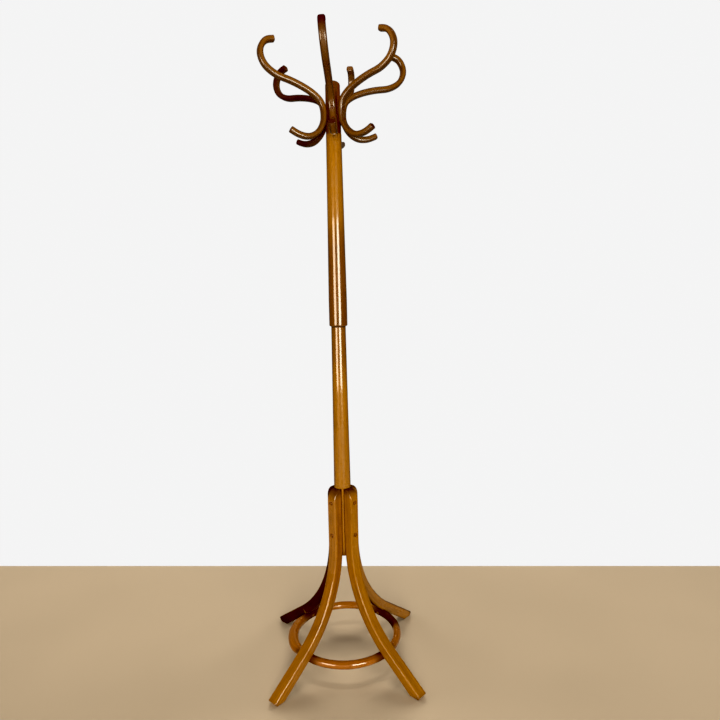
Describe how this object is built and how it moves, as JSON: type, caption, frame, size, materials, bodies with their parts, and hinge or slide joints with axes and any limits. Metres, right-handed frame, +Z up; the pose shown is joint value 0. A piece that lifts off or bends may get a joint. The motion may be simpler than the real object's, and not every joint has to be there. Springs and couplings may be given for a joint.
{
  "type": "standing coat rack",
  "caption": "Free-standing bentwood coat stand: turned pole with S-shaped hook arms on a swivelling head, splayed legs and an umbrella ring.",
  "frame": {"origin": "on the floor, on the axis of the pole", "axes": "+Z up along the pole, -Y towards the front of the stand, +X to its right as seen from the front"},
  "size_m": [0.4814, 0.4758, 1.9186],
  "materials": {
    "pole_wood": "gloss amber varnish on turned beech",
    "leg_wood": "gloss amber varnish on steam-bent beech",
    "ring_wood": "gloss amber varnish on a steam-bent beech hoop",
    "arm_wood": "gloss amber varnish on steam-bent beech",
    "screw": "dark bronzed steel, slotted head",
    "washer": "dark brown, dull"
  },
  "bodies": {
    "stand": {"lower_pole": "pole_wood", "swivel_washer": "washer", "umbrella_ring": "ring_wood", "leg_front_right": "leg_wood", "leg_rear_right": "leg_wood", "leg_rear_left": "leg_wood", "leg_front_left": "leg_wood", "leg_screw_front_right_upper": "screw", "leg_screw_front_right_lower": "screw", "leg_screw_rear_right_upper": "screw", "leg_screw_rear_right_lower": "screw", "leg_screw_rear_left_upper": "screw", "leg_screw_rear_left_lower": "screw", "leg_screw_front_left_upper": "screw", "leg_screw_front_left_lower": "screw", "ring_screw_front_right": "screw", "ring_screw_rear_right": "screw", "ring_screw_rear_left": "screw", "ring_screw_front_left": "screw"},
    "crown": {"upper_pole": "pole_wood", "arm_front_left": "arm_wood", "arm_front": "arm_wood", "arm_front_right": "arm_wood", "arm_rear_right": "arm_wood", "arm_rear": "arm_wood", "arm_rear_left": "arm_wood", "arm_screw_front_left_upper": "screw", "arm_screw_front_left_lower": "screw", "arm_screw_front_upper": "screw", "arm_screw_front_lower": "screw", "arm_screw_front_right_upper": "screw", "arm_screw_front_right_lower": "screw", "arm_screw_rear_right_upper": "screw", "arm_screw_rear_right_lower": "screw", "arm_screw_rear_upper": "screw", "arm_screw_rear_lower": "screw", "arm_screw_rear_left_upper": "screw", "arm_screw_rear_left_lower": "screw"}
  },
  "joints": [
    {"name": "crown_swivel", "type": "hinge", "parent": "stand", "child": "crown", "pos_m": [0, 0, 1.0866], "axis": [0, 0, 1], "continuous": true}
  ]
}
